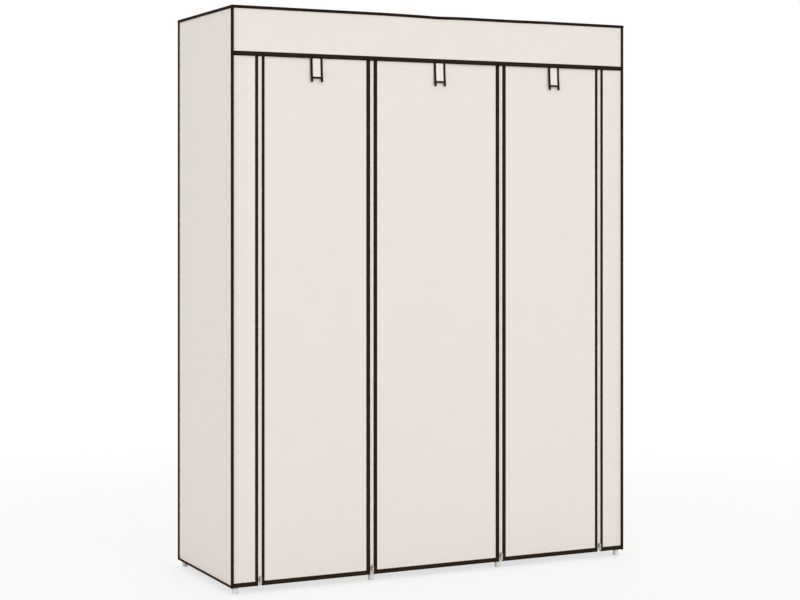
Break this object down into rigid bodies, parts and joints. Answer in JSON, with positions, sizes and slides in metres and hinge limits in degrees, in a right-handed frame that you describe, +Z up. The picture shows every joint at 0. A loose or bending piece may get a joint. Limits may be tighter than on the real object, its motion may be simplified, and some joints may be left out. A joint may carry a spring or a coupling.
{
  "type": "portable fabric wardrobe",
  "caption": "Free-standing wardrobe: a steel tube frame on plastic feet in a sewn cloth cover, whose front doors unzip and roll up under a header flap.",
  "frame": {"origin": "on the floor under the middle of the cover", "axes": "+Z up, the doors face -Y, +X to the right of a viewer who faces the doors"},
  "size_m": [1.33, 0.4747, 1.698],
  "materials": {
    "frame_steel": "satin grey coating",
    "foot_plastic": "smooth moulded",
    "shelf_cloth": "cream non-woven cloth",
    "cover_cloth": "cream non-woven cloth with brown binding",
    "strap_cloth": "cream strap with broad brown binding",
    "zip_metal": "dull grey"
  },
  "bodies": {
    "wardrobe": {"front_post_1": "frame_steel", "front_post_2": "frame_steel", "front_post_3": "frame_steel", "front_post_4": "frame_steel", "rear_post_1": "frame_steel", "rear_post_2": "frame_steel", "rear_post_3": "frame_steel", "rear_post_4": "frame_steel", "top_front_rail_run": "frame_steel", "top_rear_rail_run": "frame_steel", "bottom_front_rail_run": "frame_steel", "bottom_rear_frame": "frame_steel", "top_depth_bar_1": "frame_steel", "top_depth_bar_2": "frame_steel", "top_depth_bar_3": "frame_steel", "top_depth_bar_4": "frame_steel", "shelf_frame_1": "frame_steel", "shelf_frame_2": "frame_steel", "shelf_frame_3": "frame_steel", "hanging_rod_centre": "frame_steel", "hanging_rod_right": "frame_steel", "front_foot_1": "foot_plastic", "front_foot_2": "foot_plastic", "front_foot_3": "foot_plastic", "front_foot_4": "foot_plastic", "rear_foot_1": "foot_plastic", "rear_foot_2": "foot_plastic", "rear_foot_3": "foot_plastic", "rear_foot_4": "foot_plastic", "floor_cloth": "shelf_cloth", "shelf_cloth_1": "shelf_cloth", "shelf_cloth_2": "shelf_cloth", "shelf_cloth_3": "shelf_cloth", "cover_roof": "cover_cloth", "cover_back": "cover_cloth", "cover_left_side": "cover_cloth", "cover_right_side": "cover_cloth", "cover_left_stile": "cover_cloth", "cover_right_stile": "cover_cloth", "header_flap": "cover_cloth"},
    "left_door": {"left_door_sheet": "cover_cloth"},
    "left_door_fold_1": {"left_door_hem_upper": "cover_cloth"},
    "left_door_fold_2": {"left_door_hem_lower": "cover_cloth"},
    "left_strap": {"left_tie_strap": "strap_cloth"},
    "centre_door": {"centre_door_sheet": "cover_cloth"},
    "centre_door_fold_1": {"centre_door_hem_upper": "cover_cloth"},
    "centre_door_fold_2": {"centre_door_hem_lower": "cover_cloth"},
    "centre_strap": {"centre_tie_strap": "strap_cloth"},
    "right_door": {"right_door_sheet": "cover_cloth"},
    "right_door_fold_1": {"right_door_hem_upper": "cover_cloth"},
    "right_door_fold_2": {"right_door_hem_lower": "cover_cloth"},
    "right_strap": {"right_tie_strap": "strap_cloth"},
    "outer_left_zip_slider": {"zip_slider_outer_left": "zip_metal"},
    "outer_left_zip_pull": {"zip_pull_outer_left": "zip_metal"},
    "inner_left_zip_slider": {"zip_slider_inner_left": "zip_metal"},
    "inner_left_zip_pull": {"zip_pull_inner_left": "zip_metal"},
    "inner_right_zip_slider": {"zip_slider_inner_right": "zip_metal"},
    "inner_right_zip_pull": {"zip_pull_inner_right": "zip_metal"},
    "outer_right_zip_slider": {"zip_slider_outer_right": "zip_metal"},
    "outer_right_zip_pull": {"zip_pull_outer_right": "zip_metal"}
  },
  "joints": [
    {"name": "left_door_lift", "type": "slide", "parent": "wardrobe", "child": "left_door", "axis": [0, 0, 1], "range_m": [0, 1.375], "deforming": ["left_door_sheet"]},
    {"name": "left_door_curl_1", "type": "hinge", "parent": "left_door", "child": "left_door_fold_1", "pos_m": [-0.4, -0.233, 0.11985], "axis": [-1, 0, 0], "range_deg": [0, 115]},
    {"name": "left_door_curl_2", "type": "hinge", "parent": "left_door_fold_1", "child": "left_door_fold_2", "pos_m": [-0.4, -0.233, 0.06985], "axis": [-1, 0, 0], "range_deg": [0, 115]},
    {"name": "left_strap_swing", "type": "hinge", "parent": "wardrobe", "child": "left_strap", "pos_m": [-0.4, -0.234, 1.5553], "axis": [-1, 0, 0], "range_deg": [0, 58]},
    {"name": "centre_door_lift", "type": "slide", "parent": "wardrobe", "child": "centre_door", "axis": [0, 0, 1], "range_m": [0, 1.375], "deforming": ["centre_door_sheet"]},
    {"name": "centre_door_curl_1", "type": "hinge", "parent": "centre_door", "child": "centre_door_fold_1", "pos_m": [0, -0.233, 0.11985], "axis": [-1, 0, 0], "range_deg": [0, 115]},
    {"name": "centre_door_curl_2", "type": "hinge", "parent": "centre_door_fold_1", "child": "centre_door_fold_2", "pos_m": [0, -0.233, 0.06985], "axis": [-1, 0, 0], "range_deg": [0, 115]},
    {"name": "centre_strap_swing", "type": "hinge", "parent": "wardrobe", "child": "centre_strap", "pos_m": [0.008, -0.234, 1.5553], "axis": [-1, 0, 0], "range_deg": [0, 58]},
    {"name": "right_door_lift", "type": "slide", "parent": "wardrobe", "child": "right_door", "axis": [0, 0, 1], "range_m": [0, 1.375], "deforming": ["right_door_sheet"]},
    {"name": "right_door_curl_1", "type": "hinge", "parent": "right_door", "child": "right_door_fold_1", "pos_m": [0.4, -0.233, 0.11985], "axis": [-1, 0, 0], "range_deg": [0, 115]},
    {"name": "right_door_curl_2", "type": "hinge", "parent": "right_door_fold_1", "child": "right_door_fold_2", "pos_m": [0.4, -0.233, 0.06985], "axis": [-1, 0, 0], "range_deg": [0, 115]},
    {"name": "right_strap_swing", "type": "hinge", "parent": "wardrobe", "child": "right_strap", "pos_m": [0.4115, -0.234, 1.5553], "axis": [-1, 0, 0], "range_deg": [0, 58]},
    {"name": "outer_left_zip", "type": "slide", "parent": "wardrobe", "child": "outer_left_zip_slider", "axis": [0, 0, 1], "range_m": [0, 1.5]},
    {"name": "outer_left_pull_swing", "type": "hinge", "parent": "outer_left_zip_slider", "child": "outer_left_zip_pull", "pos_m": [-0.5793, -0.2392, 0.043], "axis": [-1, 0, 0], "range_deg": [0, 150]},
    {"name": "inner_left_zip", "type": "slide", "parent": "wardrobe", "child": "inner_left_zip_slider", "axis": [0, 0, 1], "range_m": [0, 1.5]},
    {"name": "inner_left_pull_swing", "type": "hinge", "parent": "inner_left_zip_slider", "child": "inner_left_zip_pull", "pos_m": [-0.2207, -0.2392, 0.043], "axis": [-1, 0, 0], "range_deg": [0, 150]},
    {"name": "inner_right_zip", "type": "slide", "parent": "wardrobe", "child": "inner_right_zip_slider", "axis": [0, 0, 1], "range_m": [0, 1.5]},
    {"name": "inner_right_pull_swing", "type": "hinge", "parent": "inner_right_zip_slider", "child": "inner_right_zip_pull", "pos_m": [0.2207, -0.2392, 0.043], "axis": [-1, 0, 0], "range_deg": [0, 150]},
    {"name": "outer_right_zip", "type": "slide", "parent": "wardrobe", "child": "outer_right_zip_slider", "axis": [0, 0, 1], "range_m": [0, 1.5]},
    {"name": "outer_right_pull_swing", "type": "hinge", "parent": "outer_right_zip_slider", "child": "outer_right_zip_pull", "pos_m": [0.5793, -0.2392, 0.043], "axis": [-1, 0, 0], "range_deg": [0, 150]}
  ],
  "couplings": [
    {"joint": "left_door_curl_1", "follows": "left_door_lift", "rad_per_m": 1.4597},
    {"joint": "left_door_curl_2", "follows": "left_door_lift", "rad_per_m": 1.4597},
    {"joint": "left_strap_swing", "follows": "left_door_lift", "rad_per_m": 0.73621},
    {"joint": "centre_door_curl_1", "follows": "centre_door_lift", "rad_per_m": 1.4597},
    {"joint": "centre_door_curl_2", "follows": "centre_door_lift", "rad_per_m": 1.4597},
    {"joint": "centre_strap_swing", "follows": "centre_door_lift", "rad_per_m": 0.73621},
    {"joint": "right_door_curl_1", "follows": "right_door_lift", "rad_per_m": 1.4597},
    {"joint": "right_door_curl_2", "follows": "right_door_lift", "rad_per_m": 1.4597},
    {"joint": "right_strap_swing", "follows": "right_door_lift", "rad_per_m": 0.73621}
  ]
}
